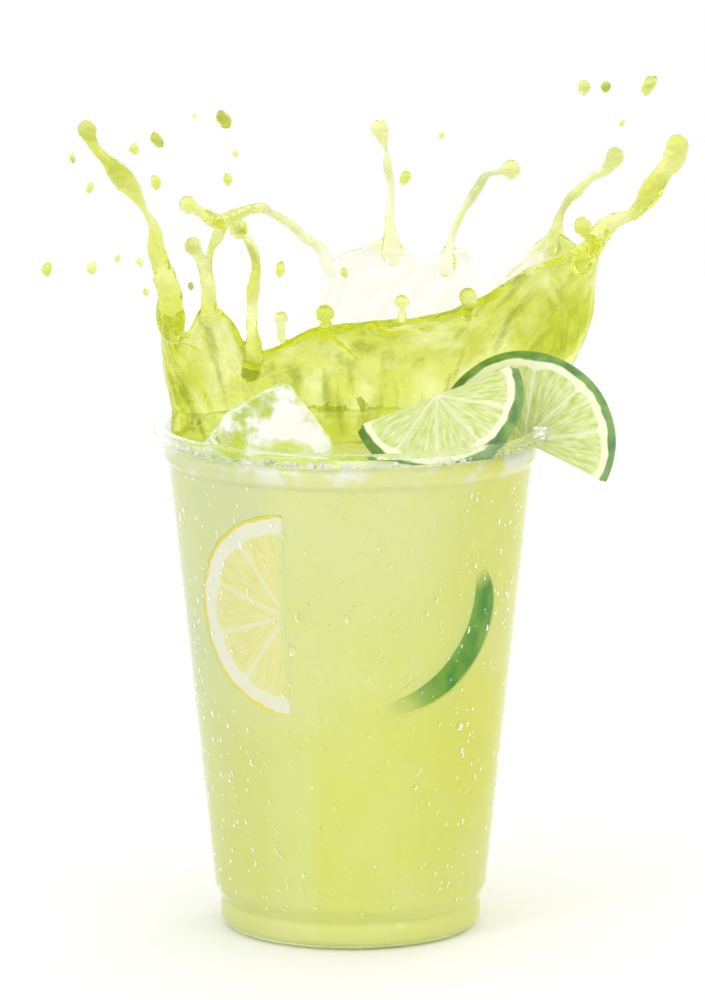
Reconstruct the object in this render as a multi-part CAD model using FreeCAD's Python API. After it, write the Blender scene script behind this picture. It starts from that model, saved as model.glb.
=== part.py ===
import FreeCAD, Part
import math
import os

# A clear plastic cold cup, brimful of cloudy lemonade, with a splash frozen as it leaps out of it.
# A half wheel of lime hooks over the rim, a second one floats against the front wall beside an ice
# cube, and two more citrus half wheels are sunk in the drink and touch the wall.
#
# Units are millimetres. The origin is the centre of the foot, on the table. +Z is up, and the
# side that the floating lime faces is -Y.

Vector = FreeCAD.Vector

# ---- cup: outside sizes, from the table up --------------------------------------------------
CUP_HEIGHT = 127.0
SHEET = 0.6  # thickness of the moulded plastic
PUNT_RADIUS = 25.0  # raised centre of the base
PUNT_HEIGHT = 2.0
FOOT_RING_INNER = 27.5  # the flat ring that the cup stands on starts here
FOOT_RADIUS = 32.6
FOOT_ROUND = 3.0
FOOT_HEIGHT = 5.2
WAIST_RADIUS = 32.1
WAIST_RISE = 1.8  # from the top of the foot to the narrowest ring
SHOULDER_RADIUS = 33.9
SHOULDER_RISE = 3.4  # from the waist to the start of the straight wall
WALL_TOP_RADIUS = 45.1
STEP_BELOW_RIM = 9.5  # the stacking step's lower edge, below the top of the rim
STEP_OUT = 1.1
STEP_RISE = 1.3
CURL_WIDTH = 3.4  # the rolled rim, from the inside of the wall to its outer edge
CURL_DROP = 3.2  # how far the rolled edge hangs down from the top

# ---- contents -------------------------------------------------------------------------------
LEVEL_BELOW_RIM = 5.0
GAP = 0.4  # air or liquid film kept between pieces that don't rest on each other

ICE_EDGE = 23.0
ICE_ROUND = 4.0
ICE_AZIMUTH = 228.3  # where it floats, from +X
ICE_ROOM = 0.643  # from its centre to the wall beside it, as a share of its edge
ICE_RISE = 2.5  # height of the cube's centre above the liquid
ICE_TURN = (28.0, 33.0, 24.0)  # yaw, tilt, roll in degrees

# Each half wheel has a cut edge and an arc. Two directions set how it lies: the one that its cut
# edge runs along, and the one from its hub to the middle of its arc.
WEDGE_RADIUS = 20.0
WEDGE_THICKNESS = 6.0
WEDGE_AZIMUTH = -39.1  # where its hub is, from +X
WEDGE_ROOM = 0.894  # from its hub to the wall beside it, as a share of its radius
WEDGE_RISE = 13.0  # height of its hub above the liquid
WEDGE_EDGE = (0.93, 0.07, 0.36)
WEDGE_ARC = (0.32, -0.65, -0.69)

RIM_SLICE_RADIUS = 21.5
RIM_SLICE_THICKNESS = 4.6
RIM_SLICE_AZIMUTH = -8.0  # where on the rim it hooks, from +X
RIM_SLICE_LEAN = 26.0  # how far its cut edge dips outward, in degrees
RIM_SLICE_INWARD = 3.7  # its hub, inside the middle of the rolled rim
RIM_SLICE_DROP = 3.8  # its hub, below the top of the rim
RIM_SLICE_SLIT = (0.9, 9.0)  # width and height of the cut that lets the rim in

LEMON_RADIUS = 25.5
LEMON_THICKNESS = 4.0
LEMON_AZIMUTH = 248.0  # where on the wall its cut edge stands, from +X
LEMON_HEIGHT = 85.5

SUNK_LIME_RADIUS = 20.0
SUNK_LIME_THICKNESS = 5.5
SUNK_LIME_AZIMUTH = -14.7  # where its hub is, from +X
SUNK_LIME_ROOM = 0.912  # from its hub to the wall beside it, as a share of its radius
SUNK_LIME_HEIGHT = 74.0  # of its hub
SUNK_LIME_EDGE = (-0.62, 0.0, -0.79)
SUNK_LIME_ARC = (0.26, -0.95, -0.2)

# ---- splash ---------------------------------------------------------------------------------
CROWN_SHEET = 1.7
CROWN_FOOT_SHEET = 2.6
CROWN_LIP_RADIUS = 1.4
CROWN_ABOVE_RIM = 1.2  # the sheet stands upright until it is this far above the rim
CROWN_SWELL = 3.0  # how soon above there it swells sideways; 1 is a straight lean
CROWN_CURL = 3.0  # how late it curls forward; 1 is a straight lean
CROWN_SECTIONS = 60

# Stations round the crown, anticlockwise from above and starting at the back. Each has the azimuth
# of its foot, the foot's distance from the axis as a share of the room there is, and then how far
# the lip leans in x and y, and how far it rises.
CROWN = (
    (75, 1.0, 7, 2, 37),
    (84, 1.0, 6, 1, 43),
    (92, 1.0, 6, 1, 42),
    (100, 1.0, 3, 1, 37),
    (108, 1.0, 3, 0, 21),
    (122, 1.0, 2, 1, 17),
    (137, 1.0, 0, 1, 18),
    (152, 1.0, -1, 0, 22),
    (164, 1.0, -3, 0, 28),
    (173, 1.0, -2, -2, 30),
    (178, 0.96, -1, -4, 27),
    (180, 0.88, -1, -4, 27),
    (182, 0.80, 0, -5, 34),
    (183, 0.70, 1, -6, 31),
    (184, 0.59, 1, -8, 23),
    (186, 0.44, 1, -11, 25),
    (192, 0.24, 1, -15, 30),
    (270, 0.04, 2, -18, 32),
    (354, 0.24, 2, -20, 33),
    (359, 0.45, 4, -21, 35),
    (2, 0.64, 6, -20, 39),
    (3.5, 0.79, 8, -17, 44),
    (4, 0.90, 13, -11, 47),
    (5, 0.96, 17, -6, 50),
    (9, 1.0, 17, 0, 49),
    (17, 1.0, 14, 2, 46),
    (28, 1.0, 12, 4, 48),
    (40, 1.0, 8, 5, 39),
    (50, 1.0, 5, 4, 33),
    (58, 1.0, 6, 4, 41),
    (66, 1.0, 6, 3, 40),
)

# Jets that leave the lip. Each has its place along the lip, counted in stations, and then the steps
# along it: offset in x, y and z from the lip there, and the jet's radius.
JETS = {
    "left_tall": (9.5, ((0, 0, -4, 3.6), (-1, -1, 11, 2.8), (-3, -4, 20, 2.2), (-3.5, -5, 25, 1.7),
                        (-6.5, -7, 31, 1.4), (-11, -9, 38, 2.9), (-15, -11, 43, 1.6), (-19, -13, 50, 2.2))),
    "left_short": (12, ((0, 0, -2, 2.6), (0, 0, 6, 1.5), (-1.5, -1, 11, 1.7), (-3.5, -1, 15, 1.9))),
    "prop": (12, ((0, 0, 4, 1.5), (0.5, 1, 12, 1.2), (2, 3, 16.5, 1.4), (3.5, 6, 19, 2.0))),
    "arch": (3, ((0, 0, -3, 1.6), (-2.5, -2, 5, 1.4), (-6, -4, 8, 1.5), (-10, -9, 12, 1.2),
                   (-15, -17, 16.5, 1.2), (-20, -27, 18.5, 1.6), (-27, -40, 17.5, 2.2),
                   (-32, -46, 20.5, 1.6), (-35, -49, 23, 2.0))),
    "front_left": (14, ((1, 0, -3, 2.6), (1, -1, 6, 1.9), (1, -2, 14, 1.7), (1.5, -3, 22, 1.6),
                         (0.5, -4, 28, 1.2), (-2, -5, 32, 2.2))),
    "back_one": (1, ((0, 0, -3, 2.4), (-1, 0, 6, 1.3), (-0.5, 0, 13, 1.1), (-1.5, 1, 22, 1.0),
                      (-3.5, 2, 28, 2.2))),
    "back_two": (29, ((-1, 0, -3, 2.4), (-1, 0, 4, 1.5), (0, 1, 10, 1.3), (4, 2, 16, 1.5),
                      (8, 3, 20, 1.0), (12.5, 4, 21, 2.2))),
    "right_back": (26, ((0, 0, -3, 2.4), (2.5, 0, 5, 1.3), (4.5, 1, 8.5, 1.3), (10.5, 2, 14, 1.2),
                        (16, 3, 19.5, 2.1))),
    "right_bud": (24, ((0, 0, -2, 1.8), (0, 3, 1.5, 1.1), (-1, 7, 3.5, 2.0))),
    "right_tall": (23, ((-3, 0, -4, 3.0), (3, 0, 2, 2.7), (7, 0, 5.5, 2.1), (10, 0, 8, 1.8),
                        (13, 0, 12, 2.3), (16, 1, 16.5, 2.6), (21, 2, 22, 3.0))),
}

# Drops about to leave the lip: place along it, height of the drop above it, and the drop's radius.
BEADS = ((15.1, 6.0, 1.9), (16.3, 3.0, 2.2), (18.0, 4.5, 1.8), (19.5, 3.5, 2.2))
BEAD_NECK = 0.6  # the neck's radius as a share of the drop's
BLOB_SWELL = 1.12  # a blob at the end of a jet, against the jet's own radius there
RINGS_PER_JET = 14
RING_START = Vector(1, -1, 0)  # no jet runs this way

# ---- what follows from those sizes ----------------------------------------------------------
LEVEL = CUP_HEIGHT - LEVEL_BELOW_RIM
COLLAR_RADIUS = WALL_TOP_RADIUS + STEP_OUT
COLLAR_INNER = COLLAR_RADIUS - SHEET
WAIST_HEIGHT = FOOT_HEIGHT + WAIST_RISE
SHOULDER_HEIGHT = WAIST_HEIGHT + SHOULDER_RISE
STEP_HEIGHT = CUP_HEIGHT - STEP_BELOW_RIM
CURL_ROUND = CURL_WIDTH / 2.0 - SHEET - 0.05
CROWN_REACH = COLLAR_INNER - GAP - CROWN_FOOT_SHEET / 2  # to the middle of the sheet

# Corners of the cup's outer skin as (radius, height, corner radius), from the axis to the rim's edge.
CUP_SKIN = (
    (0.0, PUNT_HEIGHT, 0.0),
    (PUNT_RADIUS, PUNT_HEIGHT, 1.4),
    (FOOT_RING_INNER, 0.0, 0.8),
    (FOOT_RADIUS, 0.0, FOOT_ROUND),
    (FOOT_RADIUS, FOOT_HEIGHT, 1.6),
    (WAIST_RADIUS, WAIST_HEIGHT, 0.7),
    (SHOULDER_RADIUS, SHOULDER_HEIGHT, 2.4),
    (WALL_TOP_RADIUS, STEP_HEIGHT, 1.0),
    (COLLAR_RADIUS, STEP_HEIGHT + STEP_RISE, 1.0),
    (COLLAR_RADIUS, CUP_HEIGHT - SHEET, CURL_ROUND),
    (COLLAR_INNER + CURL_WIDTH - SHEET, CUP_HEIGHT - SHEET, CURL_ROUND),
    (COLLAR_INNER + CURL_WIDTH - SHEET, CUP_HEIGHT - CURL_DROP, 0.0),
)
AXIS_START, AXIS_END = Vector(0, 0, 0), Vector(0, 0, 1)
SMALLEST_CORNER = 0.1


# ---- profiles -------------------------------------------------------------------------------
def turn_at(before, corner, after):
    """Signed angle by which a path turns at a corner, positive to the left."""
    into = math.atan2(corner[1] - before[1], corner[0] - before[0])
    out = math.atan2(after[1] - corner[1], after[0] - corner[0])
    return (out - into + math.pi) % (2 * math.pi) - math.pi


def offset_left(corners, distance):
    """The same path moved to its left, with its corner radii changed to keep the gap even."""
    moved = []
    last = len(corners) - 1
    for i, (r, z, corner) in enumerate(corners):
        before = corners[i - 1] if i else None
        after = corners[i + 1] if i < last else None
        if before is None or after is None:
            a, b = (corners[0], corners[1]) if before is None else (corners[-2], corners[-1])
            angle = math.atan2(b[1] - a[1], b[0] - a[0])
            moved.append((r - distance * math.sin(angle), z + distance * math.cos(angle), 0.0))
            continue
        turn = turn_at(before, (r, z), after)
        middle = math.atan2(z - before[1], r - before[0]) + turn / 2
        reach = distance / math.cos(turn / 2)
        new_corner = max(SMALLEST_CORNER, corner - math.copysign(distance, turn))
        moved.append((r - reach * math.sin(middle), z + reach * math.cos(middle), new_corner))
    return moved


def rounded_edges(corners):
    """Lines and tangent arcs through (radius, height, corner radius) points, in the XZ plane."""
    edges = []
    start = Vector(corners[0][0], 0, corners[0][1])
    for before, (r, z, radius), after in zip(corners, corners[1:], corners[2:]):
        turn = turn_at(before, (r, z), after)
        tangent = radius * abs(math.tan(turn / 2))
        corner = Vector(r, 0, z)
        back = (Vector(before[0], 0, before[1]) - corner).normalize()
        ahead = (Vector(after[0], 0, after[1]) - corner).normalize()
        arc_start = corner + back * tangent
        arc_end = corner + ahead * tangent
        inward = (back + ahead).normalize()
        mid = corner + inward * (radius / math.cos(turn / 2) - radius)
        edges.append(Part.LineSegment(start, arc_start).toShape())
        edges.append(Part.Arc(arc_start, mid, arc_end).toShape())
        start = arc_end
    edges.append(Part.LineSegment(start, Vector(corners[-1][0], 0, corners[-1][1])).toShape())
    return edges


def revolve(edges, angle=360.0):
    return Part.Face(Part.Wire(edges)).revolve(AXIS_START, AXIS_END, angle)


def line(a, b):
    return Part.LineSegment(Vector(*a), Vector(*b)).toShape()


# ---- cup and drink --------------------------------------------------------------------------
def inner_skin():
    return offset_left(CUP_SKIN, SHEET)


def make_cup():
    """One moulded sheet: raised base, foot, waist, tapered wall, stacking step and rolled rim."""
    outer = CUP_SKIN
    inner = inner_skin()
    lip_outer = (inner[-1][0], 0, inner[-1][1])
    lip_inner = (outer[-1][0], 0, outer[-1][1])
    lip_mid = ((lip_outer[0] + lip_inner[0]) / 2, 0, lip_inner[2] - SHEET / 2)
    edges = rounded_edges(outer)
    edges.append(Part.Arc(Vector(*lip_inner), Vector(*lip_mid), Vector(*lip_outer)).toShape())
    edges += [edge.reversed() for edge in reversed(rounded_edges(inner))]
    edges.append(line((0, 0, inner[0][1]), (0, 0, outer[0][1])))
    return revolve(Part.sortEdges(edges)[0])


def cup_inside(top):
    """The solid that fills the cup from its floor to the height top, above the stacking step."""
    skin = inner_skin()[:-3]
    skin.append((COLLAR_INNER, top, 0.0))
    edges = rounded_edges(skin)
    edges.append(line((COLLAR_INNER, 0, top), (0, 0, top)))
    edges.append(line((0, 0, top), (0, 0, skin[0][1])))
    return revolve(Part.sortEdges(edges)[0])


def inner_radius(z):
    """Inside radius of the straight wall at height z."""
    rise = (z - SHOULDER_HEIGHT) / (STEP_HEIGHT - SHOULDER_HEIGHT)
    return SHOULDER_RADIUS + rise * (WALL_TOP_RADIUS - SHOULDER_RADIUS) - SHEET


# ---- citrus and ice -------------------------------------------------------------------------
def turned(shape, turn, at):
    """Turns a shape made at the origin, facing -Y, by yaw, tilt and roll, and moves it into place."""
    yaw, tilt, roll = turn
    rotation = (
        FreeCAD.Rotation(Vector(0, 0, 1), yaw)
        * FreeCAD.Rotation(Vector(1, 0, 0), -tilt)
        * FreeCAD.Rotation(Vector(0, 1, 0), -roll)
    )
    moved = shape.copy()
    moved.Placement = FreeCAD.Placement(Vector(*at), rotation)
    return moved


def laid(shape, edge, arc, at):
    """Turns a half wheel so that its cut edge runs along edge and its arc points along arc."""
    rotation = FreeCAD.Rotation(Vector(*edge), Vector(), Vector(*arc).negative(), "XZY")
    moved = shape.copy()
    moved.Placement = FreeCAD.Placement(Vector(*at), rotation)
    return moved


def half_wheel(radius, thickness):
    """Half a citrus slice: cut edge along X, arc towards -Z, one face towards -Y, a crowned rind."""
    crown = thickness * 0.12
    edge = radius - crown
    half = thickness / 2
    profile = [
        line((0, -half, 0), (edge, -half, 0)),
        Part.Arc(Vector(edge, -half, 0), Vector(radius, 0, 0), Vector(edge, half, 0)).toShape(),
        line((edge, half, 0), (0, half, 0)),
        line((0, half, 0), (0, -half, 0)),
    ]
    face = Part.Face(Part.Wire(Part.sortEdges(profile)[0]))
    return face.revolve(Vector(0, 0, 0), Vector(0, 1, 0), 180.0)


def beside_wall(azimuth, wall_radius, room, height):
    """A point inside the cup, at the distance room from the wall beside it."""
    reach = wall_radius - room
    turn = math.radians(azimuth)
    return (reach * math.cos(turn), reach * math.sin(turn), height)


def make_ice(clear=0.0):
    """The floating ice cube, or with a clearance the room that it takes up."""
    edge = ICE_EDGE + 2 * clear
    cube = Part.makeBox(edge, edge, edge, Vector(*[-edge / 2] * 3))
    cube = cube.makeFillet(ICE_ROUND, cube.Edges)
    centre = beside_wall(ICE_AZIMUTH, COLLAR_INNER, ICE_ROOM * ICE_EDGE, LEVEL + ICE_RISE)
    return turned(cube, ICE_TURN, centre)


def make_wedge():
    wheel = half_wheel(WEDGE_RADIUS, WEDGE_THICKNESS)
    hub = beside_wall(WEDGE_AZIMUTH, COLLAR_INNER, WEDGE_ROOM * WEDGE_RADIUS, LEVEL + WEDGE_RISE)
    return laid(wheel, WEDGE_EDGE, WEDGE_ARC, hub)


def rim_envelope():
    """The room that the rolled rim and the wall below it take up, with a little clearance."""
    clear = GAP / 2
    low = STEP_HEIGHT + STEP_RISE
    under_curl = CUP_HEIGHT - CURL_DROP - SHEET / 2 - clear
    inner = COLLAR_INNER - clear
    outer = COLLAR_INNER + CURL_WIDTH + clear
    wall_outer = COLLAR_RADIUS + clear
    top = CUP_HEIGHT + clear
    corners = [(inner, low), (wall_outer, low), (wall_outer, under_curl), (outer, under_curl),
               (outer, top), (inner, top), (inner, low)]
    edges = [line((a[0], 0, a[1]), (b[0], 0, b[1])) for a, b in zip(corners, corners[1:])]
    return revolve(edges)


def make_rim_slice():
    """The half wheel hooked over the rim, arc upwards, with a slit that lets the rim in."""
    lean = math.radians(RIM_SLICE_LEAN)
    seat = COLLAR_INNER + CURL_WIDTH / 2
    hub = (seat - RIM_SLICE_INWARD, 0, CUP_HEIGHT - RIM_SLICE_DROP)
    outward = (math.cos(lean), 0, -math.sin(lean))
    upward = (math.sin(lean), 0, math.cos(lean))
    wheel = laid(half_wheel(RIM_SLICE_RADIUS, RIM_SLICE_THICKNESS), outward, upward, hub)
    width, height = RIM_SLICE_SLIT
    deep = RIM_SLICE_THICKNESS * 2
    slit = Part.makeBox(width, deep, height, Vector(seat - width / 2, -deep / 2, CUP_HEIGHT))
    wheel = wheel.cut(slit)
    wheel.rotate(AXIS_START, AXIS_END, RIM_SLICE_AZIMUTH)
    return wheel.cut(rim_envelope())


def make_lemon_slice():
    """A thin half wheel pressed flat on the inside of the wall, which it follows."""
    block = half_wheel(LEMON_RADIUS, 2 * WALL_TOP_RADIUS)
    block = laid(block, (0, 0, 1), (-1, 0, 0), (0, -WALL_TOP_RADIUS, LEMON_HEIGHT))
    block.rotate(AXIS_START, AXIS_END, LEMON_AZIMUTH - 270)
    low = LEMON_HEIGHT - LEMON_RADIUS - GAP
    high = LEMON_HEIGHT + LEMON_RADIUS + GAP
    taper = math.atan2(WALL_TOP_RADIUS - SHOULDER_RADIUS, STEP_HEIGHT - SHOULDER_HEIGHT)
    depth = LEMON_THICKNESS / math.cos(taper)
    core = Part.makeCone(
        inner_radius(low) - depth, inner_radius(high) - depth, high - low, Vector(0, 0, low)
    )
    return block.common(cup_inside(LEVEL)).cut(core)


def make_sunk_lime():
    wheel = half_wheel(SUNK_LIME_RADIUS, SUNK_LIME_THICKNESS)
    wall = inner_radius(SUNK_LIME_HEIGHT)
    hub = beside_wall(SUNK_LIME_AZIMUTH, wall, SUNK_LIME_ROOM * SUNK_LIME_RADIUS, SUNK_LIME_HEIGHT)
    return laid(wheel, SUNK_LIME_EDGE, SUNK_LIME_ARC, hub)


# ---- splash ---------------------------------------------------------------------------------
def closed_curve(points):
    """A smooth closed curve through the points, and its parameters there."""
    curve = Part.BSplineCurve()
    curve.interpolate(points, True)
    places = [curve.FirstParameter] + [curve.parameter(point) for point in points[1:]]
    return curve, places + [curve.LastParameter]


def foot_point(station):
    azimuth = math.radians(station[0])
    reach = station[1] * CROWN_REACH
    return Vector(reach * math.cos(azimuth), reach * math.sin(azimuth), LEVEL)


FOOT_POINTS = [foot_point(station) for station in CROWN]
LIP_POINTS = [foot + Vector(*station[2:]) for foot, station in zip(FOOT_POINTS, CROWN)]
FOOT_CURVE = closed_curve(FOOT_POINTS)
LIP_CURVE = closed_curve(LIP_POINTS)


def parameter_at(places, station):
    """The parameter of a closed curve at a station, which may lie between two of them."""
    before = int(station)
    share = station - before
    return places[before] + share * (places[before + 1] - places[before])


def crown_lip(station):
    curve, places = LIP_CURVE
    return curve.value(parameter_at(places, station))


def crown_foot(station):
    """Where the middle of the sheet meets the liquid, and the outward direction there."""
    curve, places = FOOT_CURVE
    parameter = parameter_at(places, station)
    along = Vector(*curve.tangent(parameter)[0])
    return curve.value(parameter), Vector(along.y, -along.x, 0).normalize()


def sheet_point(foot, lip, share):
    """A point up the middle of the sheet, at a share of the height between its straight foot and
    its lip: it swells sideways at once and curls forward last."""
    low = CUP_HEIGHT + CROWN_ABOVE_RIM
    sideways = 1 - (1 - share) ** CROWN_SWELL
    forward = share**CROWN_CURL
    x = foot.x + (lip.x - foot.x) * sideways
    y = foot.y + (lip.y - foot.y) * forward
    return Vector(x, y, low + (lip.z - low) * share)


def crown_section(station):
    """A closed upright section of the sheet, thick at its foot, with a round lip."""
    foot, outward = crown_foot(station)
    lip = crown_lip(station)
    outer = [foot + outward * CROWN_FOOT_SHEET / 2]
    inner = [foot - outward * CROWN_FOOT_SHEET / 2]
    for share in (0.0, 0.2, 0.45, 0.75):
        middle = sheet_point(foot, lip, share)
        outer.append(middle + outward * CROWN_SHEET / 2)
        inner.append(middle - outward * CROWN_SHEET / 2)
    outer.append(lip + outward * CROWN_LIP_RADIUS)
    inner.append(lip - outward * CROWN_LIP_RADIUS)
    top = lip + Vector(0, 0, CROWN_LIP_RADIUS)
    curve = Part.BSplineCurve()
    curve.interpolate(outer + [top] + inner[::-1])
    return Part.Wire([curve.toShape(), Part.LineSegment(inner[0], outer[0]).toShape()])


def station_along_lip(share):
    """The station that lies at a share of the way round, measured along the lip."""
    curve, places = LIP_CURVE
    parameter = curve.parameterAtDistance(share * curve.length(), curve.FirstParameter)
    before = max(i for i in range(len(CROWN)) if places[i] <= parameter + 1e-9)
    return before + (parameter - places[before]) / (places[before + 1] - places[before])


def make_crown():
    sections = [crown_section(station_along_lip(i / CROWN_SECTIONS)) for i in range(CROWN_SECTIONS)]
    return Part.makeLoft(sections, True, False, True)


def ring(point, tangent, radius):
    """A circle across a jet. All of them start on the same side, so the jet does not twist."""
    circle = Part.makeCircle(radius)
    circle.Placement = FreeCAD.Placement(point, FreeCAD.Rotation(RING_START, Vector(), tangent, "ZXY"))
    return Part.Wire(circle)


def radius_at(places, radii, place):
    """Blends the radii smoothly between the places where they are given."""
    for i, start in enumerate(places[:-1]):
        if place <= places[i + 1] or i == len(places) - 2:
            share = min(1.0, (place - start) / (places[i + 1] - start))
            ease = share * share * (3 - 2 * share)
            return radii[i] + (radii[i + 1] - radii[i]) * ease
    return radii[-1]


def jet(points, radii):
    """A tube of changing radius along a smooth line, with a round blob at its far end."""
    path = Part.BSplineCurve()
    path.interpolate(points)
    places = [path.length(path.FirstParameter, path.parameter(point)) for point in points]
    rings = []
    for i in range(RINGS_PER_JET):
        place = places[-1] * i / (RINGS_PER_JET - 1)
        parameter = path.parameterAtDistance(place, path.FirstParameter)
        tangent = Vector(*path.tangent(parameter)[0])
        rings.append(ring(path.value(parameter), tangent, radius_at(places, radii, place)))
    blob = Part.makeSphere(radii[-1] * BLOB_SWELL, points[-1])
    return Part.makeLoft(rings, True).fuse(blob)


def make_jets():
    pieces = []
    for station, steps in JETS.values():
        root = crown_lip(station)
        pieces.append(jet([root + Vector(*s[:3]) for s in steps], [s[3] for s in steps]))
    return pieces


def make_beads():
    pieces = []
    for station, height, radius in BEADS:
        lip = crown_lip(station)
        points = [lip, lip + Vector(0, 0, height / 2), lip + Vector(0, 0, height)]
        pieces.append(jet(points, [radius, radius * BEAD_NECK, radius]))
    return pieces


def make_splash():
    """The crown with its jets and drops, which flows clear of the floating ice."""
    splash = make_crown().multiFuse(make_jets() + make_beads())
    return splash.cut(make_ice(GAP))


# ---- assembly -------------------------------------------------------------------------------
def main():
    parts = {
        "cup": make_cup(),
        "ice_cube": make_ice(),
        "lime_wedge": make_wedge(),
        "lime_slice_rim": make_rim_slice(),
        "lemon_slice": make_lemon_slice(),
        "lime_slice_sunk": make_sunk_lime(),
        "splash": make_splash(),
    }
    drink = cup_inside(LEVEL)
    for name in ("ice_cube", "lime_wedge", "lemon_slice", "lime_slice_sunk"):
        drink = drink.cut(parts[name])
    parts["lemonade"] = drink
    os.makedirs("parts", exist_ok=True)
    for name, shape in parts.items():
        box = shape.optimalBoundingBox()
        print(
            f"{name}: {len(shape.Solids)} solid, valid {shape.isValid()}, {shape.Volume / 1000:.2f} ml, "
            f"x {box.XMin:.1f} to {box.XMax:.1f}, y {box.YMin:.1f} to {box.YMax:.1f}, "
            f"z {box.ZMin:.1f} to {box.ZMax:.1f}"
        )
        shape.exportStep(os.path.join("parts", name + ".step"))


main()
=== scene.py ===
import math
import random

import bmesh
import bpy
from mathutils import Matrix, Vector, noise
from mathutils.bvhtree import BVHTree


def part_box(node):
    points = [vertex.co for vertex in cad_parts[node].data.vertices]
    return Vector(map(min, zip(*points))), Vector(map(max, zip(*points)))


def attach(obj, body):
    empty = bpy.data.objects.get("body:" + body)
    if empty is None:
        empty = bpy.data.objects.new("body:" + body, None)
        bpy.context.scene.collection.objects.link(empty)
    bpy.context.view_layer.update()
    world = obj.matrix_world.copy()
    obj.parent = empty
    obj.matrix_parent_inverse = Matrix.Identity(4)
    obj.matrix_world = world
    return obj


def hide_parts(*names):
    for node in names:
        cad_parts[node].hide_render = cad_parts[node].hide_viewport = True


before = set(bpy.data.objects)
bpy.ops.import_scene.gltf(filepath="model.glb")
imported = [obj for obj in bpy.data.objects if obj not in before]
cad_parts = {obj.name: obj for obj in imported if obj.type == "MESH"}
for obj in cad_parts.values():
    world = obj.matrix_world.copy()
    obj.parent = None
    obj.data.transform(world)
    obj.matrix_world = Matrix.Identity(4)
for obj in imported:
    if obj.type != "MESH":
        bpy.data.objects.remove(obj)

# The looks of a clear plastic cup of cloudy lemonade with a leaping splash, citrus half wheels and
# ice. Sizes are metres, most of them written as so many MM. +Z is up and the front is -Y.

MM = 0.001
random.seed(7)
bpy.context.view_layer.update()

# ---- sizes taken from the frame ----
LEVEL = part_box("lemonade")[1].z
RIM_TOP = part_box("cup")[1].z
ICE_LOW, ICE_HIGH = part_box("ice_cube")

# ---- sizes that repeat the construction's ----
SHEET = 0.6 * MM
INTO_WALL = 0.15 * MM  # how far the drink reaches into the plastic, so that no gap shows
SLICE_SKINS = (0.10 * MM, 0.18 * MM)  # the same for the two skins of a slice that touches the wall
COLLAR_INNER = 45.6 * MM
CURL_WIDTH = 3.4 * MM
CURL_DROP = 3.2 * MM
GAP = 0.4 * MM

ICE_EDGE = 23 * MM
ICE_ROUND = 4 * MM
ICE_TURN = (28, 33, 24)

WEDGE_RADIUS = 20 * MM
WEDGE_THICKNESS = 6 * MM
WEDGE_EDGE = (0.93, 0.07, 0.36)
WEDGE_ARC = (0.32, -0.65, -0.69)
WEDGE_HUB = (21.5 * MM, -17.4 * MM, LEVEL + 13 * MM)

RIM_SLICE_RADIUS = 21.5 * MM
RIM_SLICE_THICKNESS = 4.6 * MM
RIM_SLICE_AZIMUTH = -8
RIM_SLICE_LEAN = 26
RIM_SLICE_INWARD = 3.7 * MM
RIM_SLICE_DROP = 3.8 * MM
RIM_SLICE_SLIT = 9 * MM  # height of the cut that lets the rim in

LEMON_RADIUS = 25.5 * MM
LEMON_AZIMUTH = 248
LEMON_HEIGHT = 85.5 * MM

SUNK_RIND_MIDDLE = (5.4 * MM, 89 * MM)  # centre, across and up, of the arc that its rind makes
SUNK_RIND_REACH = 27.2 * MM
SUNK_RIND_WIDTH = 7.0 * MM
SUNK_RIND_TURNS = (16, -88)  # where it starts and ends, in degrees above the level

# ---- the splash ----
FOOT_REACH = 43.9 * MM
SPLASH_VOXEL = 0.42 * MM
CROWN_SHEET = 1.15 * MM
CROWN_COLUMNS = 420
CROWN_ROWS = 56

# Stations round the crown, anticlockwise from above and starting at the back: azimuth of the foot,
# its share of the reach, and how far the lip leans in x and y and rises, in millimetres.
CROWN = (
    (75, 1.0, 7, 2, 37), (84, 1.0, 6, 1, 43), (92, 1.0, 6, 1, 42), (100, 1.0, 3, 1, 37),
    (108, 1.0, 3, 0, 21), (122, 1.0, 2, 1, 17), (137, 1.0, 0, 1, 18), (152, 1.0, -1, 0, 22),
    (164, 1.0, -3, 0, 28), (173, 1.0, -2, -2, 30), (178, 0.96, -1, -4, 27), (180, 0.88, -1, -4, 27),
    (182, 0.80, 0, -5, 34), (183, 0.70, 1, -6, 31), (184, 0.59, 1, -8, 23), (186, 0.44, 1, -11, 25),
    (192, 0.24, 1, -15, 30), (270, 0.04, 2, -18, 32), (354, 0.24, 2, -20, 33), (359, 0.45, 4, -21, 35),
    (2, 0.64, 6, -20, 39), (3.5, 0.79, 8, -17, 44), (4, 0.90, 13, -11, 47), (5, 0.96, 17, -6, 50),
    (9, 1.0, 17, 0, 49), (17, 1.0, 14, 2, 46), (28, 1.0, 12, 4, 48), (40, 1.0, 8, 5, 39),
    (50, 1.0, 5, 4, 33), (58, 1.0, 6, 4, 41), (66, 1.0, 6, 3, 40),
)

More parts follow.
